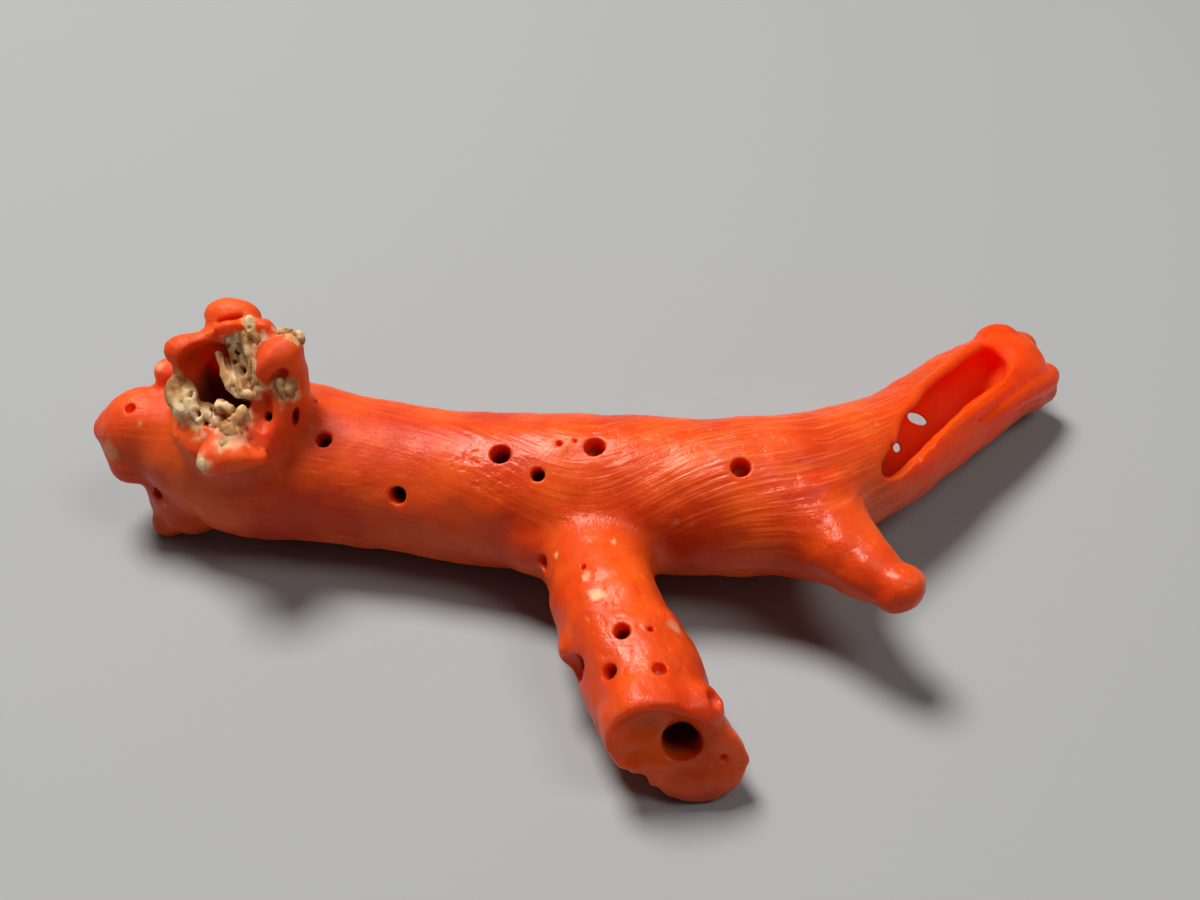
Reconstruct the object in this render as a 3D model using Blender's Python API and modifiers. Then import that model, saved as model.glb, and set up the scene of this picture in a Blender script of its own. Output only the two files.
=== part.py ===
"""Red coral branch, split at its main forks.

A short piece of branching red coral that lies on three of its own tips. Its limbs are round and
tapering and fuse at smooth forks. Boring sponges have worked on it: small round holes, a bowl and
a deep bore in the front branch's end, and a long trough in the hollow branch. The broken stump on
top is a cup with a cream crust in it.

Every size below is in millimetres. The finished pieces are scaled to metres at the end.
"""
import math

import bmesh
import bpy
from mathutils import Matrix, Vector

MM = 0.001
FORK_GAP = 0.1
CRUST_GAP = 0.06
WELD = 0.0001
FUSE_VOXEL = 0.22
FINE_VOXEL = 0.12
CORAL_TRIANGLES = 6600
CRUST_TRIANGLES = 700

# From the middle of the growth's own sketch to the middle of the finished part's foot.
HOME = Vector((-0.25, 2.8, 0.0))

# Limbs: points along each centre line, as x, y, z and radius.
TRUNK = (
    (-16.5, -0.2, 3.7, 2.9),
    (-14.7, -0.3, 3.5, 3.35),
    (-12.5, -0.5, 3.4, 3.3),
    (-10.6, -0.9, 3.3, 3.15),
    (-8.3, -1.3, 3.25, 3.05),
    (-5.3, -2.0, 3.3, 3.1),
    (-1.6, -2.4, 3.45, 3.2),
    (2.0, -2.7, 3.6, 3.2),
    (5.2, -3.1, 3.8, 3.15),
    (8.0, -3.3, 3.95, 3.0),
)
HOLLOW_BRANCH = (
    (4.0, -2.8, 3.8, 3.0),
    (6.8, -2.9, 3.95, 3.05),
    (9.4, -1.9, 3.95, 2.75),
    (12.6, 0.55, 3.5, 2.35),
    (16.4, 4.5, 2.75, 2.25),
    (19.1, 7.1, 2.1, 2.0),
    (19.7, 7.6, 2.0, 1.75),
)
LOWER_WALL = (
    (14.6, 1.4, 2.6, 0.8),
    (18.0, 4.5, 2.2, 0.85),
    (20.7, 6.8, 1.5, 0.9),
)
SHORT_BRANCH = (
    (5.6, -3.6, 3.9, 2.7),
    (7.8, -4.6, 4.1, 2.4),
    (9.2, -6.2, 4.3, 1.75),
    (10.1, -7.6, 4.5, 1.25),
    (11.1, -8.7, 4.6, 0.9),
)
FRONT_BRANCH = (
    (-0.8, -2.9, 3.5, 2.7),
    (-0.1, -6.1, 3.4, 2.25),
    (0.3, -8.5, 3.2, 2.05),
    (1.1, -10.5, 3.0, 2.2),
    (1.8, -12.3, 2.7, 2.3),
    (2.45, -13.7, 2.4, 2.4),
    (3.0, -15.6, 2.4, 2.5),
)
END_LOBE = (
    (-15.5, -0.2, 3.7, 3.3),
    (-17.4, 0.0, 4.3, 2.5),
    (-18.6, 0.1, 4.7, 2.0),
    (-19.6, 0.0, 4.8, 1.3),
    (-20.2, -0.1, 4.8, 0.8),
)
FOOT_LOBE = (
    (-17.3, -0.8, 2.8, 1.8),
    (-18.2, -0.75, 1.2, 1.1),
    (-18.5, -1.1, 0.6, 0.75),
)
STUMP = (
    (-14.1, -0.4, 4.0, 3.1),
    (-14.3, -0.9, 6.2, 2.8),
    (-14.5, -1.8, 8.0, 2.7),
    (-14.6, -2.8, 10.0, 2.6),
    (-14.6, -3.6, 11.5, 2.5),
)

# Broken faces: a point on the face and the way it looks.
CUP_FACE = (Vector((-14.5, -1.75, 8.2)), Vector((-0.1, -0.72, 0.68)))
FRONT_FACE = (Vector((2.6, -14.5, 2.3)), Vector((0.1, -0.97, 0.17)))

# Forks, in the order they are cut: piece, place of the cut, way the branch leaves, and how far the
# branch's space reaches along, across and up.
FORKS = (
    ("crusted_branch", Vector((-14.25, -1.3, 6.5)), Vector((0.0, -0.35, 0.94)), (9.0, 6.0, 9.0)),
    ("end_lobe", Vector((-17.0, 0.0, 4.0)), Vector((-1.0, 0.0, 0.0)), (7.0, 10.0, 14.0)),
    ("hollow_branch", Vector((9.9, -0.5, 3.8)), Vector((0.85, 0.52, -0.1)), (18.0, 7.0, 12.0)),
    ("short_branch", Vector((9.35, -4.85, 4.2)), Vector((0.66, -0.75, 0.0)), (9.0, 6.1, 9.0)),
    ("front_branch", Vector((0.1, -6.25, 3.0)), Vector((-0.14, -0.99, 0.0)), (14.0, 12.8, 12.0)),
)

CORAL_RED = (0.6, 0.06, 0.015)
CRUST_CREAM = (0.72, 0.6, 0.42)


def clear_scene():
    for item in list(bpy.data.objects):
        bpy.data.objects.remove(item, do_unlink=True)


def new_collection(name):
    group = bpy.data.collections.new(name)
    bpy.context.scene.collection.children.link(group)
    return group


def as_mesh(item):
    """The object as it looks now, with modifiers and place in a plain welded mesh."""
    bpy.context.view_layer.update()
    graph = bpy.context.evaluated_depsgraph_get()
    mesh = bpy.data.meshes.new_from_object(item.evaluated_get(graph))
    cage = bmesh.new()
    cage.from_mesh(mesh)
    bmesh.ops.remove_doubles(cage, verts=cage.verts, dist=WELD)
    bmesh.ops.transform(cage, matrix=item.matrix_world, verts=cage.verts)
    cage.to_mesh(mesh)
    cage.free()
    name = item.name
    home = item.users_collection[0]
    bpy.data.objects.remove(item)
    plain = bpy.data.objects.new(name, mesh)
    home.objects.link(plain)
    return plain


def limb(name, route, group):
    """A round tapering limb along a route."""
    curve = bpy.data.curves.new(name, "CURVE")
    curve.dimensions = "3D"
    curve.bevel_depth = 1.0
    curve.bevel_resolution = 6
    curve.resolution_u = 8
    curve.use_fill_caps = True
    spline = curve.splines.new("BEZIER")
    spline.bezier_points.add(len(route) - 1)
    for point, (x, y, z, radius) in zip(spline.bezier_points, route):
        point.co = (x, y, z)
        point.radius = radius
        point.handle_left_type = "AUTO"
        point.handle_right_type = "AUTO"
    item = bpy.data.objects.new(name, curve)
    group.objects.link(item)
    return as_mesh(item)


def lump(name, place, sizes, group, turn=None):
    """A rounded lump; sizes are its three radii, or one for a ball."""
    bpy.ops.mesh.primitive_uv_sphere_add(segments=20, ring_count=12, radius=1.0, location=place)
    item = bpy.context.object
    item.name = name
    if isinstance(sizes, (int, float)):
        sizes = (sizes, sizes, sizes)
    item.scale = sizes
    if turn is not None:
        item.rotation_euler = turn.to_euler()
    for owner in list(item.users_collection):
        owner.objects.unlink(item)
    group.objects.link(item)
    return as_mesh(item)


def face_frame(face):
    """A frame on a broken face: x to the right, y up along the face, z out of it."""
    centre, outward = face
    out = outward.normalized()
    right = (Vector((1, 0, 0)) - out * out.x).normalized()
    up = out.cross(right)
    frame = Matrix((right, up, out)).transposed().to_4x4()
    frame.translation = centre
    return frame


def face_lump(name, face, place, sizes, spin, group):
    """A lump placed and turned on a broken face."""
    frame = face_frame(face)
    turn = frame.to_3x3() @ Matrix.Rotation(math.radians(spin), 3, "Z")
    return lump(name, frame @ Vector(place), sizes, group, turn)


def join(name, items, group):
    """One object from several plain meshes."""
    cage = bmesh.new()
    for item in items:
        cage.from_mesh(item.data)
        bpy.data.objects.remove(item)
    mesh = bpy.data.meshes.new(name)
    cage.to_mesh(mesh)
    cage.free()
    body = bpy.data.objects.new(name, mesh)
    group.objects.link(body)
    return body


def fuse(name, items, voxel, group):
    """One closed skin round overlapping shapes."""
    body = join(name, items, group)
    skin = body.modifiers.new("Fuse", "REMESH")
    skin.mode = "VOXEL"
    skin.voxel_size = voxel
    return as_mesh(body)


def boolean(body, cutter, operation="DIFFERENCE"):
    cut = body.modifiers.new("Cut", "BOOLEAN")
    cut.solver = "EXACT"
    cut.operation = operation
    cut.object = cutter
    return as_mesh(body)


def carve(body, cutter):
    """Takes a shape out of a body and uses it up."""
    body = boolean(body, cutter)
    bpy.data.objects.remove(cutter)
    return body


def smooth(body, turns, group_name=""):
    relax = body.modifiers.new("Smooth", "SMOOTH")
    relax.factor = 0.5
    relax.iterations = turns
    relax.vertex_group = group_name
    return as_mesh(body)


def soften_forks(body, forks, turns):
    """Fills the sharp creases where limbs meet; each fork is a place and a reach."""
    group = body.vertex_groups.new(name="forks")
    for vertex in body.data.vertices:
        weight = 0.0
        for place, reach in forks:
            distance = (vertex.co - Vector(place)).length
            weight = max(weight, 1.0 - distance / reach)
        if weight > 0.0:
            group.add([vertex.index], min(1.0, 1.6 * weight), "REPLACE")
    return smooth(body, turns, "forks")


def knead(body, size, height):
    """Gentle natural unevenness."""
    waves = bpy.data.textures.new("waves", "CLOUDS")
    waves.noise_scale = size
    waves.noise_depth = 1
    bend = body.modifiers.new("Knead", "DISPLACE")
    bend.texture = waves
    bend.texture_coords = "LOCAL"
    bend.strength = height
    bend.mid_level = 0.5
    return as_mesh(body)


def thin_out(body, triangles):
    """Fewer, larger triangles where the surface is calm."""
    now = sum(len(face.vertices) - 2 for face in body.data.polygons)
    fewer = body.modifiers.new("Thin out", "DECIMATE")
    fewer.ratio = min(1.0, triangles / now)
    return as_mesh(body)


def station(route, along):
    """Centre, direction and radius at a distance along a route."""
    left = along
    for start, end in zip(route, route[1:]):
        step = Vector(end[:3]) - Vector(start[:3])
        if left <= step.length or end == route[-1]:
            part = left / step.length
            centre = Vector(start[:3]) + step * part
            return centre, step.normalized(), start[3] + (end[3] - start[3]) * part
        left -= step.length


def around(route, along, angle):
    """A point on a limb's skin and the way out; 0 degrees is its viewer side, 90 its top."""
    centre, ahead, radius = station(route, along)
    side = ahead.cross(Vector((0, 0, 1))).normalized()
    top = side.cross(ahead)
    turn = math.radians(angle)
    out = side * math.cos(turn) + top * math.sin(turn)
    return centre + out * radius, out


def drill(place, out, radius, depth, group):
    """A sponge's bore: a rod from just outside the skin inwards."""
    proud = 0.6
    bpy.ops.mesh.primitive_cylinder_add(vertices=12, radius=radius, depth=depth + proud)
    rod = bpy.context.object
    rod.rotation_euler = out.to_track_quat("Z", "Y").to_euler()
    rod.location = place + out * (proud - depth) / 2
    for owner in list(rod.users_collection):
        owner.objects.unlink(rod)
    group.objects.link(rod)
    return as_mesh(rod)


def block(name, place, ahead, sizes, group):
    """A box whose near face is at a place; it looks ahead, and sizes are length, width, height."""
    length, width, height = sizes
    bpy.ops.mesh.primitive_cube_add(size=1.0)
    box = bpy.context.object
    box.name = name
    ahead = ahead.normalized()
    box.rotation_euler = ahead.to_track_quat("X", "Z").to_euler()
    box.location = place + ahead * length / 2
    box.scale = (length, width, height)
    for owner in list(box.users_collection):
        owner.objects.unlink(box)
    group.objects.link(box)
    return as_mesh(box)


def broken_off(route, face, name, shop):
    """A limb cut off along its broken face."""
    centre, outward = face
    body = limb(name, route, shop)
    return carve(body, block("break", centre, outward, (9, 12, 12), shop))


def grow_coral(shop):
    """All limbs and lumps in one skin, softened at the forks."""
    parts = [
        limb("trunk", TRUNK, shop),
        limb("hollow branch", HOLLOW_BRANCH, shop),
        limb("short branch", SHORT_BRANCH, shop),
        limb("end lobe", END_LOBE, shop),
        limb("foot lobe", FOOT_LOBE, shop),
        broken_off(FRONT_BRANCH, FRONT_FACE, "front branch", shop),
        broken_off(STUMP, CUP_FACE, "stump", shop),
    ]
    parts += short_branch_tip(shop)
    parts += end_lobe_lumps(shop)
    parts += cup_rim(shop)
    parts += front_end_rim(shop)
    parts += hollow_branch_end(shop)
    body = fuse("coral", parts, FUSE_VOXEL, shop)
    body = smooth(body, 3)
    forks = (
        ((3.0, -5.8, 3.6), 3.2),
        ((-2.6, -5.6, 3.4), 2.6),
        ((10.6, -3.0, 4.0), 3.4),
        ((8.0, -6.0, 3.6), 2.8),
        ((10.0, 1.0, 4.0), 3.6),
        ((-11.4, -0.8, 6.6), 2.6),
        ((-17.6, -0.8, 2.4), 1.6),
    )
    body = soften_forks(body, forks, 24)
    return knead(body, 2.6, 0.22)


def short_branch_tip(shop):
    return [
        lump("tip", (11.1, -8.6, 4.6), 0.98, shop),
        lump("swelling", (8.0, -4.6, 4.9), (2.0, 1.6, 1.6), shop),
    ]


def end_lobe_lumps(shop):
    return [
        lump("lobe end", (-20.1, 0.0, 4.6), (1.1, 1.2, 1.2), shop),
        lump("lobe middle", (-18.8, 0.0, 4.5), (1.9, 1.8, 2.1), shop),
        lump("lobe corner", (-19.2, -1.0, 3.8), (1.1, 0.9, 0.9), shop),
        lump("back knob", (-17.6, 1.2, 6.8), (0.7, 0.7, 0.6), shop),
        lump("foot", (-18.4, -1.1, 0.55), (0.85, 0.8, 0.7), shop),
        lump("foot heel", (-17.2, -1.3, 1.2), (1.2, 1.0, 0.9), shop),
    ]


def cup_rim(shop):
    """Lobes round the broken cup, on its face: place, sizes and spin."""
    lobes = (
        ("upper left lip", (-1.45, 1.6, -0.2), (1.05, 0.6, 1.0), 10),
        ("top lobe", (0.05, 3.0, -0.5), (1.1, 0.75, 0.9), 0),
        ("inner ear", (0.2, 2.45, 0.2), (0.65, 0.35, 0.5), 15),
        ("top right bump", (1.5, 2.4, -0.2), (0.6, 0.5, 0.6), 0),
        ("right lip", (2.45, 1.5, -0.2), (0.65, 0.95, 0.9), -10),
        ("inner right lobe", (1.8, 0.9, 0.0), (0.42, 0.95, 0.6), -40),
        ("lower lip", (-0.25, -2.4, 0.3), (0.9, 1.05, 0.9), 0),
        ("lower lip tail", (0.9, -2.65, 0.0), (1.0, 0.55, 0.8), 8),
    )
    return [face_lump(name, CUP_FACE, place, sizes, spin, shop) for name, place, sizes, spin in lobes]


def front_end_rim(shop):
    """The uneven rim of the front branch's broken end."""
    lobes = (
        ("left corner", (-2.0, 0.2, -0.7), (0.6, 1.0, 0.8), 20),
        ("right corner", (2.0, -0.6, -0.7), (0.75, 0.9, 0.9), 35),
        ("lower lip", (1.2, -1.6, -0.6), (1.1, 0.6, 0.9), 20),
        ("arch", (-0.4, 1.5, -0.7), (1.3, 0.6, 0.9), 0),
    )
    return [face_lump(name, FRONT_FACE, place, sizes, spin, shop) for name, place, sizes, spin in lobes]


def hollow_branch_end(shop):
    return [
        lump("plug top", (18.9, 7.8, 3.2), (0.9, 0.8, 0.95), shop),
        lump("plug back", (19.7, 8.4, 2.1), (0.9, 0.9, 1.2), shop),
        limb("lower wall", LOWER_WALL, shop),
        lump("lower tip", (20.8, 6.9, 1.25), (0.95, 1.0, 1.35), shop),
    ]


def carve_coral(body, shop):
    body = carve(body, trough(shop))
    body = carve(body, cup_hollow(shop))
    body = carve(body, front_hollow(shop))
    for hole in sponge_holes(shop):
        body = carve(body, hole)
    return body


def trough(shop):
    """The long hollow of the split branch, its channel at the tip and two gaps in the far wall."""
    route = (
        (11.4, -2.7, 5.0, 0.7),
        (12.0, -2.0, 4.9, 1.0),
        (12.8, -0.6, 4.7, 1.3),
        (13.7, 1.0, 4.3, 1.55),
        (15.5, 3.1, 3.7, 1.65),
        (17.0, 4.9, 3.4, 1.55),
        (18.4, 6.3, 3.1, 1.35),
    )
    channel = ((18.0, 4.7, 3.6, 0.38), (19.5, 5.9, 3.3, 0.38), (22.0, 8.0, 2.8, 0.38))
    through = Vector((0.23, 0.74, -0.63)).normalized()
    parts = [
        limb("trough", route, shop),
        lump("trough start", (11.4, -2.7, 5.0), 0.7, shop),
        limb("channel", channel, shop),
        drill(Vector((14.4, 4.7, 1.3)), through, 0.42, 3.0, shop),
        drill(Vector((13.2, 2.6, 1.4)), through, 0.22, 3.0, shop),
    ]
    return thin_out(fuse("trough", parts, FINE_VOXEL, shop), 700)


def cup_hollow(shop):
    parts = [
        face_lump("hollow", CUP_FACE, (-0.3, -0.3, 0.2), (1.55, 1.55, 2.3), 0, shop),
        face_lump("deep hole", CUP_FACE, (-0.55, 0.4, -1.8), (0.85, 1.0, 2.0), 20, shop),
        face_lump("right dent", CUP_FACE, (1.4, -0.9, 0.2), (0.5, 0.8, 0.7), 0, shop),
    ]
    return thin_out(fuse("cup hollow", parts, FINE_VOXEL, shop), 500)


def front_hollow(shop):
    frame = face_frame(FRONT_FACE)
    bore = [tuple(frame @ Vector((0.2, 0.7, depth))) + (0.68,) for depth in (0.8, -1.0, -4.0)]
    parts = [
        face_lump("bowl", FRONT_FACE, (-0.95, 0.4, 0.6), (1.5, 1.65, 1.2), 0, shop),
        face_lump("funnel", FRONT_FACE, (0.5, 0.5, 0.6), (1.8, 1.65, 1.05), 0, shop),
        lump("bite", (4.1, -13.1, 4.0), 0.45, shop),
        lump("side notch", (-1.15, -10.8, 2.95), 0.65, shop),
        lump("lower left break", (0.8, -14.9, 0.0), 1.1, shop),
        face_lump("pit", FRONT_FACE, (1.7, -0.25, 0.0), (0.22, 0.22, 0.6), 0, shop),
        limb("bore", bore, shop),
    ]
    return thin_out(fuse("front hollow", parts, FINE_VOXEL, shop), 600)


def sponge_holes(shop):
    """Round bores: limb, distance along it, angle round it, radius and depth."""
    holes = (
        (TRUNK, 5.8, 58, 0.33, 1.8),
        (TRUNK, 9.0, 28, 0.37, 1.8),
        (TRUNK, 13.1, 68, 0.42, 1.8),
        (TRUNK, 14.6, 54, 0.29, 1.4),
        (TRUNK, 16.7, 78, 0.42, 1.6),
        (TRUNK, 22.4, 66, 0.34, 1.4),
        (FRONT_BRANCH, 3.7, 8, 0.28, 1.2),
        (FRONT_BRANCH, 8.0, 75, 0.3, 1.3),
        (FRONT_BRANCH, 9.3, 45, 0.3, 1.3),
        (FRONT_BRANCH, 10.0, 93, 0.22, 0.7),
    )
    rods = []
    for route, along, angle, radius, depth in holes:
        place, out = around(route, along, angle)
        rods.append(drill(place, out, radius, depth, shop))
    return rods


def level_feet(body, shop):
    """The three tips it lies on are worn to small flats."""
    return carve(body, block("ground", Vector((0, 0, 0)), Vector((0, 0, -1)), (2, 60, 60), shop))


def duplicate(item):
    twin = item.copy()
    twin.data = item.data.copy()
    item.users_collection[0].objects.link(twin)
    return twin


def largest_body(item):
    """Drops crumbs that a cut leaves beside the piece itself."""
    cage = bmesh.new()
    cage.from_mesh(item.data)
    waiting = set(cage.verts)
    bodies = []
    while waiting:
        front = [waiting.pop()]
        found = []
        while front:
            vertex = front.pop()
            found.append(vertex)
            for edge in vertex.link_edges:
                other = edge.other_vert(vertex)
                if other in waiting:
                    waiting.remove(other)
                    front.append(other)
        bodies.append(found)
    bodies.sort(key=len)
    for crumb in bodies[:-1]:
        bmesh.ops.delete(cage, geom=crumb, context="VERTS")
    cage.to_mesh(item.data)
    cage.free()
    return item


def fork_block(name, place, ahead, sizes, spare, shop):
    """The space beyond a fork's cut, wider by spare all round."""
    ahead = ahead.normalized()
    roomy = tuple(size + 2 * spare for size in sizes)
    return block(name, place - ahead * spare, ahead, roomy, shop)


def split_at_forks(body, shop):
    pieces = []
    for name, place, ahead, sizes in FORKS:
        beyond = fork_block("beyond", place, ahead, sizes, 0.0, shop)
        piece = boolean(duplicate(body), beyond, "INTERSECT")
        bpy.data.objects.remove(beyond)
        piece.name = name
        pieces.append(largest_body(piece))
        body = carve(body, fork_block("clear", place, ahead, sizes, FORK_GAP, shop))
    body.name = "trunk"
    pieces.append(largest_body(body))
    return pieces


def grow_crust(coral, shop):
    """Cream crust: a fill in the lower half of the cup, a ridge up its right side and a left end."""
    lumps = (
        ("left end", (-2.1, 0.25, 0.0), (0.45, 0.55, 0.5), 0),
        ("left run", (-1.75, -0.5, -0.2), (0.5, 0.6, 0.6), 0),
        ("left fill", (-1.1, -0.95, -0.7), (0.75, 0.65, 0.9), 0),
        ("middle fill", (-0.3, -1.2, -0.9), (0.85, 0.75, 1.0), 0),
        ("right fill", (0.5, -1.1, -0.7), (0.75, 0.65, 0.9), 0),
        ("lip crust", (0.25, -1.6, 0.1), (0.6, 0.45, 0.6), -15),
        ("ridge foot", (0.95, -0.35, -0.4), (0.45, 0.6, 0.7), 0),
        ("ridge knee", (0.95, 0.35, -0.2), (0.45, 0.6, 0.7), 30),
        ("ridge", (0.75, 1.1, -0.2), (0.5, 0.6, 0.7), 0),
        ("ridge side", (1.3, 1.3, -0.1), (0.4, 0.8, 0.6), 0),
        ("ridge top", (0.75, 2.0, -0.1), (0.55, 0.55, 0.6), 0),
        ("ridge tip", (1.0, 2.7, -0.1), (0.3, 0.5, 0.4), 0),
    )
    parts = [face_lump(name, CUP_FACE, place, sizes, spin, shop) for name, place, sizes, spin in lumps]
    body = fuse("crust", parts, FINE_VOXEL, shop)
    body = thin_out(knead(body, 0.45, 0.22), CRUST_TRIANGLES)
    return largest_body(carve(body, swollen_cup(coral, shop)))


def swollen_cup(coral, shop):
    """The coral round the cup, larger by the gap that the crust keeps."""
    region = block("region", Vector((-14.5, -1.5, 3.0)), Vector((0, 0, 1)), (9, 9, 9), shop)
    body = boolean(duplicate(coral), region, "INTERSECT")
    bpy.data.objects.remove(region)
    grow = body.modifiers.new("Swell", "DISPLACE")
    grow.strength = CRUST_GAP
    grow.mid_level = 0.0
    body = fuse("swollen cup", [as_mesh(body)], FINE_VOXEL, shop)
    return thin_out(body, 2600)


def plain_material(name, colour, roughness):
    material = bpy.data.materials.new(name)
    material.use_nodes = True
    shader = material.node_tree.nodes["Principled BSDF"]
    shader.inputs["Base Color"].default_value = (*colour, 1.0)
    shader.inputs["Roughness"].default_value = roughness
    shader.inputs["Metallic"].default_value = 0.0
    return material


def finish(piece, material, group):
    """Moves a piece to its final place and to metres, and gives it its material."""
    name = piece.name
    piece.data.transform(Matrix.Scale(MM, 4) @ Matrix.Translation(HOME))
    piece.data.name = name
    piece.data.materials.clear()
    piece.data.materials.append(material)
    piece.data.shade_smooth()
    piece.data.set_sharp_from_angle(angle=math.radians(40))
    for owner in list(piece.users_collection):
        owner.objects.unlink(piece)
    group.objects.link(piece)


def build():
    clear_scene()
    shop = new_collection("workshop")
    group = new_collection("red_coral")
    coral = carve_coral(grow_coral(shop), shop)
    coral = level_feet(thin_out(coral, CORAL_TRIANGLES), shop)
    crust = grow_crust(coral, shop)
    pieces = split_at_forks(coral, shop)
    for piece in pieces:
        finish(piece, plain_material(piece.name + "_coral", CORAL_RED, 0.35), group)
    finish(crust, plain_material("cream_crust", CRUST_CREAM, 0.85), group)


build()
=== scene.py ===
import itertools
import math

import bpy
import numpy as np
from mathutils import Matrix, Vector
from mathutils.bvhtree import BVHTree


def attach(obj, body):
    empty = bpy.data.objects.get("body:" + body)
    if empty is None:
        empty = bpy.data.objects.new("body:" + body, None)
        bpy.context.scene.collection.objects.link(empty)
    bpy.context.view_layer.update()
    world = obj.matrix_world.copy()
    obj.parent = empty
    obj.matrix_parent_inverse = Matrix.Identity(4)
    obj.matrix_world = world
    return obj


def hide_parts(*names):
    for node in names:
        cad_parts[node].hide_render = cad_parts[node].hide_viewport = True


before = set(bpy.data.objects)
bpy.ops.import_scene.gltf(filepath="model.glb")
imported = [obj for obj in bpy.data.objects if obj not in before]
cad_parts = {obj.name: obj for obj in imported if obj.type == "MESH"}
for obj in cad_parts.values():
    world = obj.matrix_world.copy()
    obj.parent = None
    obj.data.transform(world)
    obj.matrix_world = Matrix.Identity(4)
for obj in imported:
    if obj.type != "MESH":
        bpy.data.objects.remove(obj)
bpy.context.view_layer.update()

# The coral is modelled in millimetres, then scaled to metres and moved home, to its place in the frame.
MM = 0.001
HOME = Vector((-0.25, 2.8, 0.0))

# Shapes are fused with voxels of these sizes, and the finished pieces have these many triangles at most.
FUSE_VOXEL = 0.2
SKIN_VOXEL = 0.06
CRUST_VOXEL = 0.045
CORAL_TRIANGLES = 190000
CRUST_TRIANGLES = 120000
RING_SIDES = 16
# Rounding shrinks a ring of that many sides to this share of its radius.
ROUNDING_LOSS = 0.975
# The camera's distance in metres, and its height over the floor in degrees.
VIEW_DISTANCE = 0.056
VIEW_HEIGHT = 42.0

# Centre lines of the limbs: x, y, z and radius.
TRUNK = (
    (-16.5, -0.2, 3.7, 2.9),
    (-14.7, -0.3, 3.5, 3.35),
    (-12.5, -0.5, 3.4, 3.3),
    (-10.6, -0.9, 3.3, 3.15),
    (-8.3, -1.3, 3.25, 3.05),
    (-5.3, -2.0, 3.3, 3.1),
    (-1.6, -2.4, 3.45, 3.2),
    (2.0, -2.7, 3.6, 3.2),
    (5.2, -3.1, 3.8, 3.15),
    (8.0, -3.3, 3.95, 3.0),
)
HOLLOW_BRANCH = (
    (4.0, -2.8, 3.8, 3.0),
    (6.8, -2.9, 3.95, 3.05),
    (9.4, -1.9, 3.95, 2.75),
    (12.6, 0.55, 3.5, 2.35),
    (16.4, 4.5, 2.75, 2.25),
    (19.1, 7.1, 2.1, 2.0),
    (19.7, 7.6, 2.0, 1.75),
)
LOWER_WALL = (
    (14.6, 1.4, 2.6, 0.8),
    (18.0, 4.5, 2.3, 0.82),
    (20.5, 6.35, 1.5, 0.82),
)
SHORT_BRANCH = (
    (5.6, -3.6, 3.9, 2.7),
    (7.8, -4.6, 4.1, 2.4),
    (9.1, -6.25, 4.3, 1.66),
    (9.95, -7.65, 4.45, 1.24),
    (10.9, -8.65, 4.55, 1.0),
)
FRONT_BRANCH = (
    (-0.8, -3.2, 2.7, 2.3),
    (-0.1, -6.1, 3.0, 2.1),
    (0.3, -8.5, 3.2, 2.05),
    (1.1, -10.5, 3.0, 2.15),
    (1.8, -12.3, 2.7, 2.2),
    (2.45, -13.7, 2.5, 1.9),
    (3.0, -15.6, 2.5, 1.8),
)
FRONT_TOP = (
    (1.2, -11.2, 3.2, 1.75),
    (1.75, -13.2, 3.2, 1.75),
    (1.95, -15.6, 3.25, 1.75),
)
FRONT_FOOT = (
    (2.0, -11.9, 2.3, 1.4),
    (2.8, -13.1, 2.05, 1.6),
    (3.45, -14.2, 1.8, 1.85),
    (3.7, -15.6, 1.7, 1.8),
)
END_LOBE = (
    (-15.5, -0.2, 3.7, 3.3),
    (-17.4, 0.0, 4.3, 2.5),
    (-18.6, 0.1, 4.65, 1.9),
    (-19.6, 0.0, 4.8, 1.3),
    (-20.2, -0.1, 4.8, 0.8),
)
FOOT_LOBE = (
    (-17.3, -0.8, 2.8, 1.8),
    (-18.2, -0.75, 1.2, 1.1),
    (-18.5, -1.1, 0.6, 0.75),
)
STUMP = (
    (-14.1, -0.4, 4.0, 3.1),
    (-14.3, -0.9, 6.2, 2.8),
    (-14.5, -1.8, 8.0, 2.45),
    (-14.6, -2.8, 10.0, 2.4),
    (-14.6, -3.6, 11.5, 2.3),
)
# The hollow branch is broken open along one side: the distance along the branch, and the two
# edges of the opening as angles round the branch (0 faces the front, 90 is its top).
OPENING = (
    (5.9, 28, 41),
    (6.4, 24, 47),
    (7.0, 22, 51),
    (7.5, 26, 61),
    (8.4, 31, 75),
    (9.4, 38, 82),
    (10.6, 44, 91),
    (12.0, 46, 96),
    (13.6, 47, 100),
    (15.0, 49, 104),
    (16.0, 58, 108),
    (16.8, 78, 108),
)
# The room inside it: distance, angle, depth of its middle under the skin, and radius.
INNER_ROOM = (
    (6.0, 34, 0.75, 0.6),
    (7.1, 42, 1.3, 1.0),
    (9.2, 66, 1.85, 1.4),
    (11.0, 98, 2.0, 1.68),
    (13.0, 103, 2.0, 1.72),
    (14.6, 99, 1.9, 1.6),
    (15.6, 90, 1.5, 1.3),
    (16.4, 88, 1.0, 0.95),
    (17.0, 88, 0.5, 0.6),
)
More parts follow.
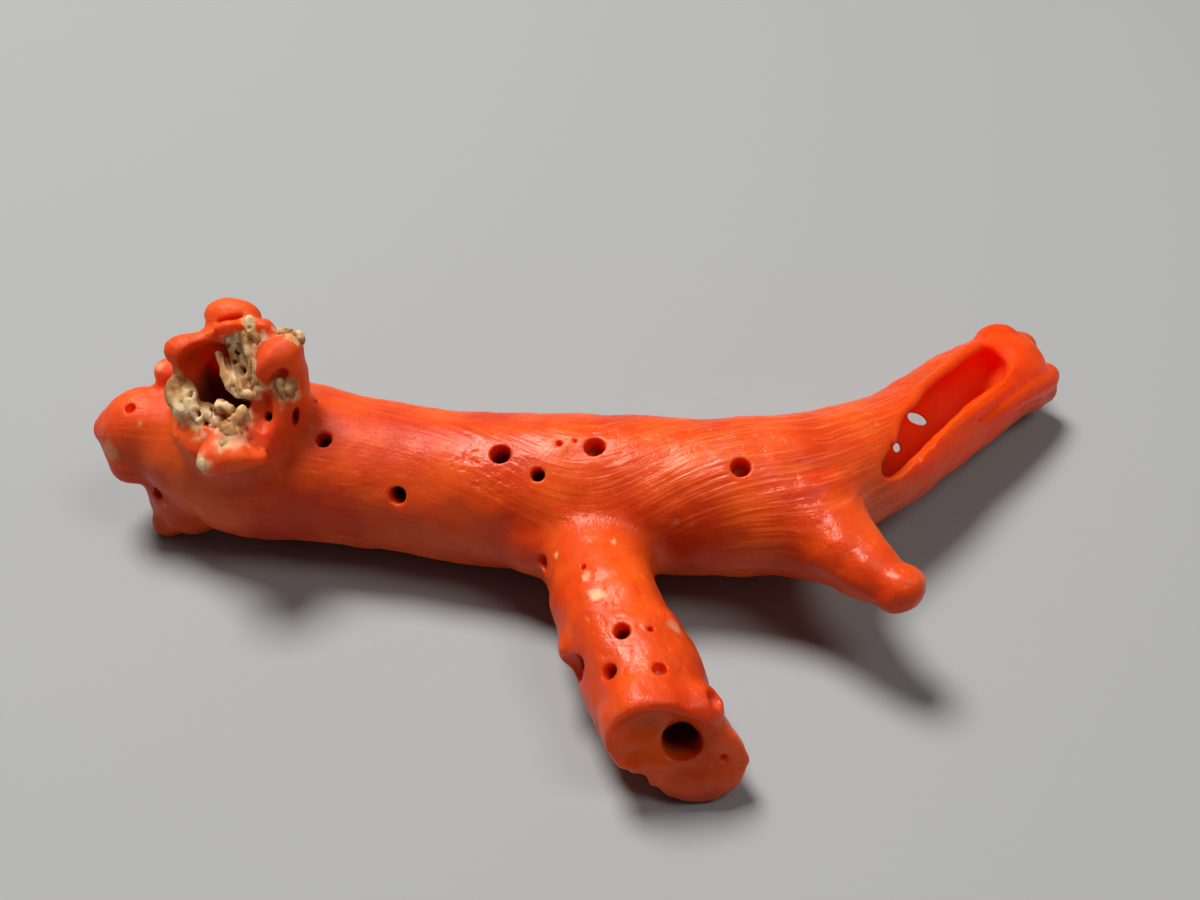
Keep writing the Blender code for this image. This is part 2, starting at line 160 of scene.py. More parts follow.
# Rims, a groove and a ridge along the hollow branch, marked in the same way.
FAR_RIM = (
    (7.0, 53, 0.2, 0.2),
    (7.6, 65, 0.2, 0.22),
    (8.6, 80, 0.2, 0.24),
    (9.6, 87, 0.2, 0.25),
    (10.6, 95, 0.2, 0.26),
    (12.2, 100, 0.2, 0.27),
    (14.8, 108, 0.2, 0.3),
    (16.9, 114, 0.15, 0.3),
)
NEAR_RIM = (
    (9.6, 34, 0.25, 0.2),
    (10.4, 37, 0.24, 0.24),
    (12.0, 37, 0.3, 0.34),
    (13.6, 37, 0.34, 0.4),
    (15.2, 38, 0.3, 0.38),
    (16.6, 40, 0.25, 0.32),
    (18.0, 39, 0.2, 0.28),
    (19.2, 35, 0.2, 0.25),
)
NEAR_GROOVE = (
    (12.2, 29, 0.0, 0.1),
    (13.6, 29, -0.1, 0.26),
    (15.6, 28, -0.08, 0.34),
    (17.4, 28, -0.1, 0.4),
    (18.8, 25, -0.08, 0.32),
    (19.6, 23, 0.0, 0.1),
)
OUTER_RIDGE = (
    (12.6, 17, 0.5, 0.5),
    (15.2, 19, 0.36, 0.58),
    (17.2, 18, 0.3, 0.62),
    (19.0, 13, 0.32, 0.66),
    (20.2, 8, 0.4, 0.68),
)

# Strands of the crust in the cup, in the frame of the cup's face: right, up, out and radius.
CRUST_STRANDS = (
    ("outer band", (
        (-2.1, 0.6, -0.1, 0.2),
        (-2.06, 0.05, 0.0, 0.3),
        (-1.84, -0.5, 0.0, 0.3),
        (-1.58, -1.1, -0.15, 0.24),
    )),
    ("inner band", (
        (-1.72, 0.45, -0.25, 0.22),
        (-1.58, 0.0, -0.15, 0.3),
        (-1.38, -0.5, -0.15, 0.34),
        (-1.12, -1.0, -0.3, 0.3),
    )),
    ("band foot", (
        (-1.25, -0.7, -0.35, 0.32),
        (-0.98, -1.1, -0.4, 0.36),
        (-0.98, -1.75, -0.4, 0.3),
    )),
    ("white tube", (
        (-0.5, 1.55, -0.2, 0.14),
        (-0.18, 1.2, -0.1, 0.2),
        (0.02, 0.85, 0.0, 0.16),
        (0.14, 0.6, 0.0, 0.23),
        (0.36, 0.25, 0.02, 0.2),
        (0.6, 0.0, 0.05, 0.26),
        (0.84, -0.12, 0.02, 0.19),
        (1.04, -0.27, 0.0, 0.2),
    )),
    ("left strand", (
        (0.3, 2.05, 0.05, 0.22),
        (0.2, 1.6, -0.05, 0.2),
        (0.33, 1.15, -0.1, 0.2),
        (0.36, 0.6, -0.15, 0.24),
    )),
    ("middle strand", (
        (0.7, 2.15, 0.05, 0.2),
        (0.84, 1.65, 0.0, 0.18),
        (0.97, 1.1, 0.0, 0.15),
        (0.92, 0.45, -0.05, 0.2),
    )),
    ("right strand", (
        (0.97, 2.95, 0.12, 0.1),
        (1.02, 2.45, 0.05, 0.18),
        (1.22, 1.9, 0.0, 0.18),
        (1.27, 1.2, 0.0, 0.14),
        (1.22, 0.5, -0.05, 0.15),
        (1.2, 0.1, -0.1, 0.13),
    )),
    ("cross bar", (
        (-0.1, 1.9, 0.0, 0.14),
        (0.35, 2.08, 0.08, 0.22),
        (0.8, 2.2, 0.08, 0.18),
    )),
    ("lip drape", (
        (0.78, -0.55, 0.0, 0.14),
        (0.7, -0.85, 0.1, 0.2),
        (0.62, -1.15, 0.2, 0.24),
        (0.4, -1.4, 0.35, 0.3),
    )),
)

# Pale spots on the skin: place, size and strength.
PALE_SPOTS = (
    ((-0.14, -9.39, 5.02), 0.36, 0.8),
    ((-0.55, -8.5, 5.06), 0.26, 0.55),
    ((2.68, -10.45, 4.56), 0.45, 0.35),
    ((-19.95, -1.35, 4.8), 0.55, 0.4),
    ((-18.45, -1.15, 6.12), 0.14, 0.45),
    ((-18.0, 1.0, 7.35), 0.4, 0.45),
    ((-17.97, -2.23, 2.55), 0.13, 0.45),
    ((-13.95, -3.6, 7.5), 0.75, 0.5),
    ((0.52, -6.72, 5.07), 0.14, 0.6),
    ((2.86, -5.68, 5.0), 0.15, 0.6),
    ((-1.7, -6.77, 4.4), 0.16, 0.6),
)

# The lines of growth run along the trunk into the hollow branch, and out of it into two limbs.
MAIN_GROWTH = TRUNK[:8] + HOLLOW_BRANCH[1:]
FRONT_GROWTH = ((-0.9, -1.5, 3.5, 2.7),) + FRONT_BRANCH[1:]
SIDE_GROWTHS = (FRONT_GROWTH, STUMP)
# The lines are scaled as if every limb had this radius, and those of a side limb start this far on.
GROWTH_RADIUS = 3.0
SIDE_GROWTH_START = 40.0

# Broken faces: a point on the face and the way it looks.
CUP_FACE = (Vector((-14.5, -1.75, 8.2)), Vector((-0.1, -0.72, 0.68)))
FRONT_FACE = (Vector((2.6, -14.5, 2.3)), Vector((0.1, -0.97, 0.17)))

# Smooth places: each is a place and its reach, with the strength of the smoothing in millimetres.
FORKS = (
    ((3.0, -5.8, 3.6), 3.2),
    ((-2.6, -5.6, 3.4), 2.6),
    ((-0.9, -5.3, 4.9), 3.0),
    ((0.7, -5.3, 4.9), 2.6),
    ((10.6, -3.0, 4.0), 3.4),
    ((8.0, -6.0, 3.6), 2.8),
    ((10.0, 1.0, 4.0), 3.6),
    ((-11.4, -0.8, 6.6), 2.6),
    ((-17.6, -0.8, 2.4), 1.6),
)
FORK_SMOOTHING = 1.06
PLUG_RAMP = (
    ((18.3, 5.6, 4.2), 1.6),
    ((18.1, 6.3, 4.2), 1.6),
    ((18.2, 4.8, 4.1), 1.1),
)
RAMP_SMOOTHING = 0.6
# These are in the frame of the front branch's broken face.
WORN_FACE = (
    ((-1.3, 1.1, -0.4), 1.8),
    ((-1.2, 0.1, -0.2), 1.4),
    ((0.2, 1.6, -0.3), 1.2),
    ((1.6, 0.4, -0.2), 1.0),
)
FACE_SMOOTHING = 0.36
NEAR_WALL = (
    ((16.2, 1.3, 4.0), 1.3),
    ((17.9, 2.8, 3.7), 1.4),
    ((19.5, 4.4, 3.3), 1.4),
    ((20.6, 5.6, 2.8), 1.3),
)
WALL_SMOOTHING = 0.16
WALL_END = (
    ((20.7, 5.9, 2.2), 1.5),
    ((19.6, 5.6, 3.2), 1.1),
)
WALL_END_SMOOTHING = 0.35

# The dull place on the ramp up to the plug at the hollow branch's tip, and its reach.
DULL_PLACE = (18.3, 6.0, 4.1)
DULL_REACH = 1.8

# Numbers that stir a cell's place and a seed into a random-looking value.
STIR = np.array((73856093, 19349663, 83492791))
SEED_STIR = 2654435
SECOND_STIR = 1274126177
# Points are matched with a limb's centre line this many at a time, which saves memory.
POINTS_AT_A_TIME = 40000


# ---------------------------------------------------------------- workbench

def put_down():
    """Nothing is selected afterwards."""
    if bpy.context.mode != "OBJECT":
        bpy.ops.object.mode_set(mode="OBJECT")
    bpy.ops.object.select_all(action="DESELECT")


def pick_up(item):
    put_down()
    item.select_set(True)
    bpy.context.view_layer.objects.active = item


def settle(item):
    """Puts an object's place, turn and size into its mesh."""
    pick_up(item)
    bpy.ops.object.transform_apply(location=True, rotation=True, scale=True)
    return item


def work(item, kind, **settings):
    """Adds a modifier and applies it."""
    pick_up(item)
    modifier = item.modifiers.new(kind.title(), kind)
    for name, value in settings.items():
        setattr(modifier, name, value)
    bpy.ops.object.modifier_apply(modifier=modifier.name)
    return item


def join(name, items):
    pick_up(items[0])
    for item in items:
        item.select_set(True)
    bpy.ops.object.join()
    body = bpy.context.object
    body.name = name
    return body


def fuse(name, items, voxel):
    """One closed skin round overlapping shapes."""
    return work(join(name, items), "REMESH", mode="VOXEL", voxel_size=voxel)


def carve(body, cutter):
    work(body, "BOOLEAN", solver="EXACT", operation="DIFFERENCE", object=cutter)
    return body


def duplicate(item, name):
    pick_up(item)
    bpy.ops.object.duplicate()
    twin = bpy.context.object
    twin.name = name
    return twin


def scrap(item):
    bpy.data.objects.remove(item, do_unlink=True)


def thin_out(item, triangles):
    """Brings a mesh down to a number of triangles, if it has more."""
    now = sum(len(face.vertices) - 2 for face in item.data.polygons)
    if now <= triangles:
        return item
    return work(item, "DECIMATE", ratio=triangles / now)


def vertex_array(item, what="co"):
    values = np.zeros(len(item.data.vertices) * 3, np.float32)
    item.data.vertices.foreach_get(what, values)
    return values.reshape(-1, 3).astype(np.float64)


def move_vertices(item, places):
    item.data.vertices.foreach_set("co", places.astype(np.float32).ravel())
    item.data.update()


def note_values(item, name, values):
    """Keeps one number or one vector at each vertex under a name."""
    kind = "FLOAT" if values.ndim == 1 else "FLOAT_VECTOR"
    field = "value" if values.ndim == 1 else "vector"
    attribute = item.data.attributes.new(name, kind, "POINT")
    attribute.data.foreach_set(field, values.astype(np.float32).ravel())


def fade(values, start, end):
    """0 at start, 1 at end, smooth between them."""
    part = np.clip((values - start) / (end - start), 0.0, 1.0)
    return part * part * (3.0 - 2.0 * part)


def grain(points, seed):
    """Smooth random values from -1 to 1; the grain is one unit wide."""
    cell = np.floor(points).astype(np.int64)
    part = points - cell
    part = part * part * (3.0 - 2.0 * part)
    total = np.zeros(len(points))
    for corner in itertools.product((0, 1), repeat=3):
        spot = cell + np.array(corner)
        key = np.bitwise_xor.reduce(spot * STIR, axis=1) ^ seed * SEED_STIR
        key = (key ^ (key >> 13)) * SECOND_STIR
        key = (key ^ (key >> 16)) & 0xFFFF
        share = np.prod(np.where(np.array(corner) == 1, part, 1.0 - part), axis=1)
        total += share * (key / 32767.5 - 1.0)
    return total


def rough_grain(points, seed, octaves):
    """Grain with finer and lower grain on top of it."""
    total = np.zeros(len(points))
    height = 1.0
    for step in range(octaves):
        total += height * grain(points * 2.0 ** step + 17.3 * step, seed + step)
        height *= 0.5
    return total


# ------------------------------------------------------------- basic shapes

def stations(route, spacing):
    """Centre, direction and radius at even steps along a smooth line through a route."""
    knots = [np.array(knot, float) for knot in route]
    knots = [2 * knots[0] - knots[1]] + knots + [2 * knots[-1] - knots[-2]]
    places = []
    for before, start, end, after in zip(knots, knots[1:], knots[2:], knots[3:]):
        steps = max(1, round(float(np.linalg.norm(end[:3] - start[:3])) / spacing))
        for step in range(steps):
            t = step / steps
            bend = 2 * start + (end - before) * t
            bend = bend + (2 * before - 5 * start + 4 * end - after) * t ** 2
            bend = bend + (3 * start - before - 3 * end + after) * t ** 3
            places.append(bend / 2)
    places.append(knots[-2])
    rings = []
    for index, place in enumerate(places):
        back = places[max(index - 1, 0)]
        front = places[min(index + 1, len(places) - 1)]
        ahead = Vector((front - back)[:3]).normalized()
        rings.append((Vector(place[:3]), ahead, float(place[3])))
    return rings


def turn_selected(turn, pivot):
    for axis, angle in zip("XYZ", turn.to_euler("XYZ")):
        if abs(angle) > 0.0001:
            bpy.ops.transform.rotate(value=-angle, orient_axis=axis, center_override=pivot)


def limb(name, route, spacing=1.2):
    """A round tapering limb: a disc extruded ring by ring along its centre line, then rounded."""
    rings = stations(route, spacing)
    centre, ahead, radius = rings[0]
    put_down()
    bpy.ops.mesh.primitive_circle_add(
        vertices=RING_SIDES,
        radius=radius / ROUNDING_LOSS,
        fill_type="NGON",
        location=centre,
        rotation=ahead.to_track_quat("Z", "Y").to_euler(),
    )
    item = settle(bpy.context.object)
    item.name = name
    bpy.ops.object.mode_set(mode="EDIT")
    bpy.ops.mesh.select_all(action="SELECT")
    for (place, way, size), (centre, ahead, radius) in zip(rings, rings[1:]):
        bpy.ops.mesh.extrude_region_move(TRANSFORM_OT_translate={"value": centre - place})
        turn_selected(way.rotation_difference(ahead), centre)
        growth = radius / size
        bpy.ops.transform.resize(value=(growth, growth, growth), center_override=centre)
    bpy.ops.mesh.select_all(action="SELECT")
    bpy.ops.mesh.normals_make_consistent(inside=False)
    bpy.ops.object.mode_set(mode="OBJECT")
    return work(item, "SUBSURF", levels=2, render_levels=2)


def broken_limb(name, route, face):
    """A limb broken off along a face."""
    centre, outward = face
    item = limb(name, route)
    pick_up(item)
    bpy.ops.object.mode_set(mode="EDIT")
    bpy.ops.mesh.select_all(action="SELECT")
    bpy.ops.mesh.bisect(plane_co=centre, plane_no=outward, use_fill=True, clear_outer=True)
    bpy.ops.object.mode_set(mode="OBJECT")
    return item


def lump(name, place, sizes, turn=None):
    """A rounded lump; sizes are its three radii, or one for a ball."""
    if isinstance(sizes, (int, float)):
        sizes = (sizes, sizes, sizes)
    put_down()
    bpy.ops.mesh.primitive_ico_sphere_add(subdivisions=4, radius=1.0, location=place)
    item = bpy.context.object
    item.name = name
    item.scale = sizes
    if turn is not None:
        item.rotation_euler = turn.to_euler()
    return settle(item)


def face_frame(face):
    """A frame on a broken face: x to the right, y up along the face, z out of it."""
    centre, outward = face
    out = outward.normalized()
    right = (Vector((1, 0, 0)) - out * out.x).normalized()
    up = out.cross(right)
    base = Matrix((right, up, out)).transposed().to_4x4()
    base.translation = centre
    return base


def face_lump(name, face, place, sizes, spin=0):
    """A lump placed in the frame of a broken face, and spun on it by some degrees."""
    base = face_frame(face)
    turn = base.to_3x3() @ Matrix.Rotation(math.radians(spin), 3, "Z")
    return lump(name, base @ Vector(place), sizes, turn)


def station_at(route, along):
    """Centre, direction and radius at a distance along a route's straight steps."""
    left = along
    for start, end in zip(route, route[1:]):
        step = Vector(end[:3]) - Vector(start[:3])
        if left <= step.length or end == route[-1]:
            part = left / step.length
            centre = Vector(start[:3]) + step * part
            return centre, step.normalized(), start[3] + (end[3] - start[3]) * part
        left -= step.length


def around(route, along, angle, depth=0.0):
    """A point on or under a limb's skin and the way out; 0 degrees is its front side, 90 its top."""
    centre, ahead, radius = station_at(route, along)
    side = ahead.cross(Vector((0, 0, 1))).normalized()
    top = side.cross(ahead)
    turn = math.radians(angle)
    out = side * math.cos(turn) + top * math.sin(turn)
    return centre + out * (radius - depth), out


def trace(route, marks):
    """A new route along a limb's skin, from marks of distance, angle, depth and radius."""
    return [
        (*around(route, along, angle, depth)[0], radius)
        for along, angle, depth, radius in marks
    ]


def gap_marks(route, edges):
    """Marks for a round cutter that meets a limb's skin along two edges."""
    marks = []
    for along, low, high in edges:
        radius = station_at(route, along)[2]
        half = math.radians((high - low) / 2)
        marks.append((along, (low + high) / 2, radius * (1 - math.cos(half)), radius * math.sin(half)))
    return marks


def bore(place, out, radius, depth):
    """A sponge's round bore, from just outside the skin inwards, with a rounded end."""
    proud = 0.6
    put_down()
    bpy.ops.mesh.primitive_cylinder_add(
        vertices=24,
        radius=radius,
        depth=depth + proud,
        location=place + out * (proud - depth) / 2,
        rotation=out.to_track_quat("Z", "Y").to_euler(),
    )
    item = settle(bpy.context.object)
    work(item, "BEVEL", width=radius * 0.45, segments=3, limit_method="ANGLE")
    return item


# ------------------------------------------------------------ the coral body

def grow_coral():
    """All limbs and lumps in one skin, softened at the forks."""
    parts = [
        limb("trunk limb", TRUNK),
        limb("hollow limb", HOLLOW_BRANCH),
        limb("lower wall", LOWER_WALL),
        limb("short limb", SHORT_BRANCH),
        limb("end lobe limb", END_LOBE),
        limb("foot limb", FOOT_LOBE),
        broken_limb("front limb", FRONT_BRANCH, FRONT_FACE),
        broken_limb("front top", FRONT_TOP, FRONT_FACE),
        broken_limb("front foot", FRONT_FOOT, FRONT_FACE),
        broken_limb("stump", STUMP, CUP_FACE),
    ]
    parts += [lump(*shape) for shape in (
        ("short tip", (11.0, -8.65, 4.55), (0.95, 0.88, 0.92)),
        ("short tip corner", (11.35, -8.4, 4.6), 0.68),
        ("short tip heel", (10.75, -8.9, 4.4), 0.7),
        ("short swelling", (8.0, -4.6, 4.9), (2.0, 1.6, 1.6)),
        ("short bump", (8.95, -6.9, 5.0), (1.0, 1.0, 0.85)),
        ("short second bump", (9.85, -7.9, 5.0), (0.75, 0.75, 0.65)),
        ("lobe nose", (-20.05, 0.0, 4.8), (0.85, 0.9, 0.9)),
        ("left fork fill", (-2.65, -4.75, 3.0), 1.45),
        ("right fork fill", (1.7, -4.9, 3.0), 1.35),
        ("lobe middle", (-18.8, 0.0, 4.5), (1.9, 1.8, 2.1)),
        ("lobe corner", (-19.2, -1.0, 3.8), (1.1, 0.9, 0.9)),
        ("back knob", (-17.6, 1.2, 6.8), (0.7, 0.7, 0.6)),
        ("foot", (-18.4, -1.1, 0.55), (0.85, 0.8, 0.7)),
        ("foot heel", (-17.2, -1.3, 1.2), (1.2, 1.0, 0.9)),
        ("tip foot", (20.1, 7.7, 0.75), (0.85, 0.85, 0.85)),
        ("tip", (20.5, 6.45, 1.7), 0.8),
        ("plug crown", (18.45, 7.75, 3.15), (1.15, 0.8, 1.05)),
        ("plug shoulder", (19.55, 7.85, 2.75), (0.85, 0.8, 0.95)),
        ("notch ledge", (-0.8, -10.15, 3.05), 0.78),
    )]
    parts += [face_lump(name, CUP_FACE, *shape) for name, *shape in (
        ("upper left lip", (-1.65, 1.65, 0.0), (0.88, 0.66, 0.8), 12),
        ("lip neck", (-0.75, 2.1, -0.25), (0.75, 0.42, 0.6), 10),
        ("top lobe", (0.0, 3.0, -0.7), (1.2, 0.75, 0.9), -5),
        ("inner ear", (0.22, 2.45, 0.45), (0.62, 0.3, 0.42), 14),
        ("top right bump", (1.5, 2.5, 0.0), (0.46, 0.38, 0.5), -15),
        ("thin wall", (1.6, 1.75, -0.2), (0.5, 0.5, 0.5)),
        ("right lip", (2.45, 1.45, -0.1), (0.62, 0.88, 0.8), 0),
        ("right flank", (2.36, 0.4, -0.95), (0.85, 1.2, 0.95), 0),
        ("inner right lobe", (1.9, 1.2, 0.3), (0.42, 0.95, 0.52), -30),
        ("lower lip left", (-0.2, -2.6, 0.55), (0.7, 0.8, 0.68), 0),
        ("lower lip right", (0.5, -2.5, 0.5), (0.9, 0.66, 0.62), -15),
        ("lower lip tail", (1.3, -2.6, 0.25), (0.6, 0.34, 0.55), 10),
        ("lower lip crown", (0.25, -1.7, 0.3), (0.72, 0.55, 0.6), 0),
    )]
    parts += [face_lump(name, FRONT_FACE, *shape) for name, *shape in (
        ("left corner", (-1.95, 1.2, -0.8), (0.72, 0.9, 0.8), 15),
        ("left lower lump", (-1.6, 0.05, -0.3), (0.62, 0.52, 0.62), 0),
        ("upper right corner", (0.75, 1.5, -0.75), (1.0, 0.95, 0.95), 0),
        ("lower lip", (1.1, -1.25, -0.3), (1.5, 1.1, 0.62), 20),
    )]
    body = fuse("coral", parts, FUSE_VOXEL)
    work(body, "SMOOTH", factor=0.5, iterations=2)
    soften(body, FORKS, FORK_SMOOTHING)
    knead(body, 2.6, 0.22)
    return work(body, "SUBSURF", levels=1, render_levels=1)


def soften(body, places, strength):
    """Smooths a body round some places, most at each place and less out to its reach."""
    points = vertex_array(body)
    weight = np.zeros(len(points))
    for place, reach in places:
        weight = np.maximum(weight, 1.0 - np.linalg.norm(points - np.array(place), axis=1) / reach)
    group = body.vertex_groups.new(name="soft places")
    for index in np.nonzero(weight > 0.0)[0]:
        group.add([int(index)], min(1.0, 1.6 * weight[index]), "REPLACE")
    edge = body.data.edges[0].vertices
    step = np.linalg.norm(points[edge[0]] - points[edge[1]])
    work(body, "SMOOTH", factor=0.5, iterations=int((strength / step) ** 2) + 1, vertex_group=group.name)
    body.vertex_groups.clear()


def knead(body, size, height):
    """Gentle natural unevenness: waves of a size, and their height."""
    waves = bpy.data.textures.new("waves", "CLOUDS")
    waves.noise_scale = size
    waves.noise_depth = 1
    work(body, "DISPLACE", texture=waves, texture_coords="LOCAL", strength=height, mid_level=0.5)


def hollow_shapes():
    """Everything that is missing from the coral, in one closed shape."""
    # The windows pierce the far wall along this way, and the slit is cut in from this side.
    through = Vector((0.23, 0.74, -0.63)).normalized()
    toward = Vector((0.22, -0.74, 0.63)).normalized()
    window = (Vector((14.4, 4.7, 1.3)), -through)
    small_window = (Vector((13.2, 2.6, 1.4)), -through)
    slit = (Vector((-11.9, -2.0, 7.15)), toward)
    middle = (0.0, 0.0, 0.0)
    mouth = face_frame(FRONT_FACE) @ Vector((0.24, 0.5, -0.3))
    downward = Vector((0.06, 0.58, -0.81))
    deep = [
        (*(mouth - downward * 1.6), 0.74),
        (*mouth, 0.7),
        (*(mouth + downward * 0.5), 0.68),
        (2.75, -12.6, 2.5, 0.65),
        (2.1, -10.6, 2.7, 0.6),
    ]
    opening = trace(HOLLOW_BRANCH, gap_marks(HOLLOW_BRANCH, OPENING))
    parts = [
        limb("opening", opening, 0.5),
        limb("inner room", trace(HOLLOW_BRANCH, INNER_ROOM), 0.7),
        limb("deep bore", deep, 0.8),
        face_lump("small window", small_window, middle, (0.16, 0.26, 1.6), 12),
        limb("near groove", trace(HOLLOW_BRANCH, NEAR_GROOVE), 0.6),
        face_lump("slit", slit, middle, (0.14, 0.42, 0.8), -8),
        face_lump("window", window, middle, (0.6, 0.26, 1.6), -24),
        bore(Vector((-0.5, -11.15, 3.2)), Vector((-0.7, -0.55, 0.45)).normalized(), 0.5, 1.2),
        lump("bite", (3.95, -13.4, 4.25), 0.38),
        lump("side notch", (-1.15, -11.2, 2.9), (0.66, 0.62, 0.7)),
        lump("lobe dimple", (-18.9, -0.6, 6.33), (0.23, 0.22, 0.25)),
        lump("ramp", around(HOLLOW_BRANCH, 16.7, 82, -0.5)[0], 0.95),
        lump("rim pit", (17.42, 7.18, 4.1), 0.3),
        lump("ridge pit", (19.3, 4.8, 3.9), 0.2),
        lump("first chip", around(HOLLOW_BRANCH, 9.2, 37, 0.1)[0], 0.2),
        lump("second chip", around(HOLLOW_BRANCH, 8.3, 29, 0.1)[0], 0.16),
        lump("knob pit", (-17.9, 0.5, 7.1), 0.2),
    ]
    parts += [face_lump(name, CUP_FACE, *shape) for name, *shape in (
        ("cup hollow", (-0.4, 0.25, 0.3), (1.5, 1.75, 2.1), 15),
        ("deep hole", (-0.4, 0.5, -1.8), (0.75, 1.15, 2.2), 32),
        ("left break", (-2.6, -0.75, 0.2), (0.85, 1.2, 0.95), 10),
        ("right dent", (1.5, -0.8, 0.3), (0.48, 0.9, 0.7), 0),
        ("right hole", (1.58, -0.95, -0.8), (0.2, 0.2, 1.3), 0),
        ("under the ear", (2.15, 0.55, 0.15), (0.6, 0.24, 0.45), 45),
        ("ear crease", (0.22, 2.84, 0.3), (0.75, 0.13, 0.6), 14),
        ("undercut", (-0.2, -3.8, 0.5), (1.7, 0.55, 1.1), 0),
    )]
    parts += [face_lump(name, FRONT_FACE, *shape) for name, *shape in (
        ("worn face", (-0.3, 0.9, 0.85), (2.0, 1.5, 1.3), 0),
        ("bowl", (-0.95, 1.35, 0.35), (1.35, 1.05, 0.95), 5),
        ("bowl foot", (-1.3, 0.55, 0.45), (0.8, 1.0, 0.75), 0),
        ("funnel", (0.9, 0.8, 0.5), (0.8, 0.95, 0.7), 0),
        ("pit", (1.72, -0.2, 0.2), (0.19, 0.19, 0.7), 0),
        ("rim groove", (0.0, 2.3, 0.2), (0.42, 0.14, 0.35), 35),
        ("right notch", (2.45, 1.3, -0.6), (0.52, 0.6, 1.3), 0),
        ("lower left notch", (-1.35, -1.2, -0.1), (0.5, 0.5, 0.8), 0),
    )]
    parts += sponge_bores()
    return fuse("hollows", parts, SKIN_VOXEL)


def sponge_bores():
    """Round bores: limb, distance along it, angle round it, radius and depth."""
    holes = (
        (TRUNK, 4.9, 94, 0.12, 0.5),
        (TRUNK, 5.8, 64.5, 0.33, 1.8),
        (TRUNK, 9.3, 31, 0.37, 1.8),
        (TRUNK, 13.05, 70, 0.4, 1.8),
        (TRUNK, 14.6, 55.5, 0.29, 1.4),
        (TRUNK, 15.3, 80, 0.14, 0.5),
        (TRUNK, 15.9, 82, 0.1, 0.4),
        (TRUNK, 16.7, 78, 0.42, 0.85),
        (TRUNK, 22.35, 66, 0.4, 0.85),
        (FRONT_BRANCH, 3.0, 14, 0.3, 1.3),
        (FRONT_BRANCH, 4.9, 66, 0.12, 0.4),
        (FRONT_BRANCH, 7.7, 76, 0.31, 1.3),
        (FRONT_BRANCH, 8.0, 102, 0.14, 0.6),
        (FRONT_BRANCH, 8.9, 49, 0.33, 1.3),
        (FRONT_BRANCH, 9.7, 92, 0.27, 0.4),
        (FOOT_LOBE, 0.2, 146, 0.26, 1.0),
    )
    return [
        bore(*around(route, along, angle), radius, depth)
        for route, along, angle, radius, depth in holes
    ]


def rim_shapes():
    """Rounded rims along the edges of the hollow branch's opening, and a ridge outside it."""
    return [
        limb("far rim", trace(HOLLOW_BRANCH, FAR_RIM), 0.5),
        limb("near rim", trace(HOLLOW_BRANCH, NEAR_RIM), 0.5),
        limb("outer ridge", trace(HOLLOW_BRANCH, OUTER_RIDGE), 0.6),
    ]


def level_feet(body):
    """The three tips it lies on are worn to small flats."""
    pick_up(body)
    bpy.ops.object.mode_set(mode="EDIT")
    bpy.ops.mesh.select_all(action="SELECT")
    bpy.ops.mesh.bisect(plane_co=(0, 0, 0), plane_no=(0, 0, -1), use_fill=True, clear_outer=True)
    bpy.ops.object.mode_set(mode="OBJECT")


# --------------------------------------------------- lines of growth and wear

def straightened(points, route):
    """Points as if their limb were straight: a drawn-out place round it, and how far outside its skin."""
    rings = stations(route, 0.5)
    centres = np.array([ring[0] for ring in rings])
    aheads = np.array([ring[1] for ring in rings])
    radii = np.array([ring[2] for ring in rings])
    sides = np.cross(aheads, (0.0, 0.0, 1.0))
    sides /= np.linalg.norm(sides, axis=1)[:, None]
    tops = np.cross(sides, aheads)
    alongs = np.concatenate(((0.0,), np.cumsum(np.linalg.norm(np.diff(centres, axis=0), axis=1))))
    out = np.zeros((len(points), 3))
    skin = np.zeros(len(points))
    for start in range(0, len(points), POINTS_AT_A_TIME):
        part = slice(start, start + POINTS_AT_A_TIME)
        gaps = points[part, None, :] - centres[None, :, :]
        squares = (gaps ** 2).sum(axis=2)
        near = np.exp((squares.min(axis=1)[:, None] - squares) / 1.6)
        near /= near.sum(axis=1)[:, None]
        offset = points[part] - near @ centres
        across = (offset * (near @ sides)).sum(axis=1)
        upward = (offset * (near @ tops)).sum(axis=1)
        reach = np.hypot(across, upward) + 0.0001
        out[part] = np.stack((across / reach, upward / reach, near @ alongs), axis=1)
        skin[part] = reach - near @ radii
    return out, skin


def growth_lines(points):
    """For each point: its place in the main growth, in its side limb's, and the side limb's share."""
    main, main_skin = straightened(points, MAIN_GROWTH)
    branch = np.zeros_like(main)
    nearest = np.full(len(points), 100.0)
    for number, route in enumerate(SIDE_GROWTHS):
        lines, skin = straightened(points, route)
        lines[:, 2] += SIDE_GROWTH_START * (number + 1)
        better = skin < nearest
        branch[better] = lines[better]
        nearest = np.minimum(nearest, skin)
    share = 1.0 / (1.0 + np.exp(np.clip((nearest - main_skin + 0.5) / 0.9, -30.0, 30.0)))
    # The main lines swing round the trunk a little where the front branch leaves it.
    sweep = 0.8 * np.exp(-((points[:, 0] + 0.8) / 4.2) ** 2)
    main[:, 0], main[:, 1] = (
        main[:, 0] * np.cos(sweep) - main[:, 1] * np.sin(sweep),
        main[:, 0] * np.sin(sweep) + main[:, 1] * np.cos(sweep),
    )
    return main, branch, share


def growth_stretch(pitch, length):
    """Scale of a grain that is a pitch wide round a limb and a length long."""
    return (GROWTH_RADIUS / pitch, GROWTH_RADIUS / pitch, 1.0 / length)


def line_relief(main, branch, share, pitch, length, seed):
    """Grain drawn out along the growth, from the main lines and the side limb's by their shares."""
    stretch = np.array(growth_stretch(pitch, length))
    first = grain(main * stretch, seed)
    second = grain(branch * stretch, seed + 5)
    return first * (1.0 - share) + second * share


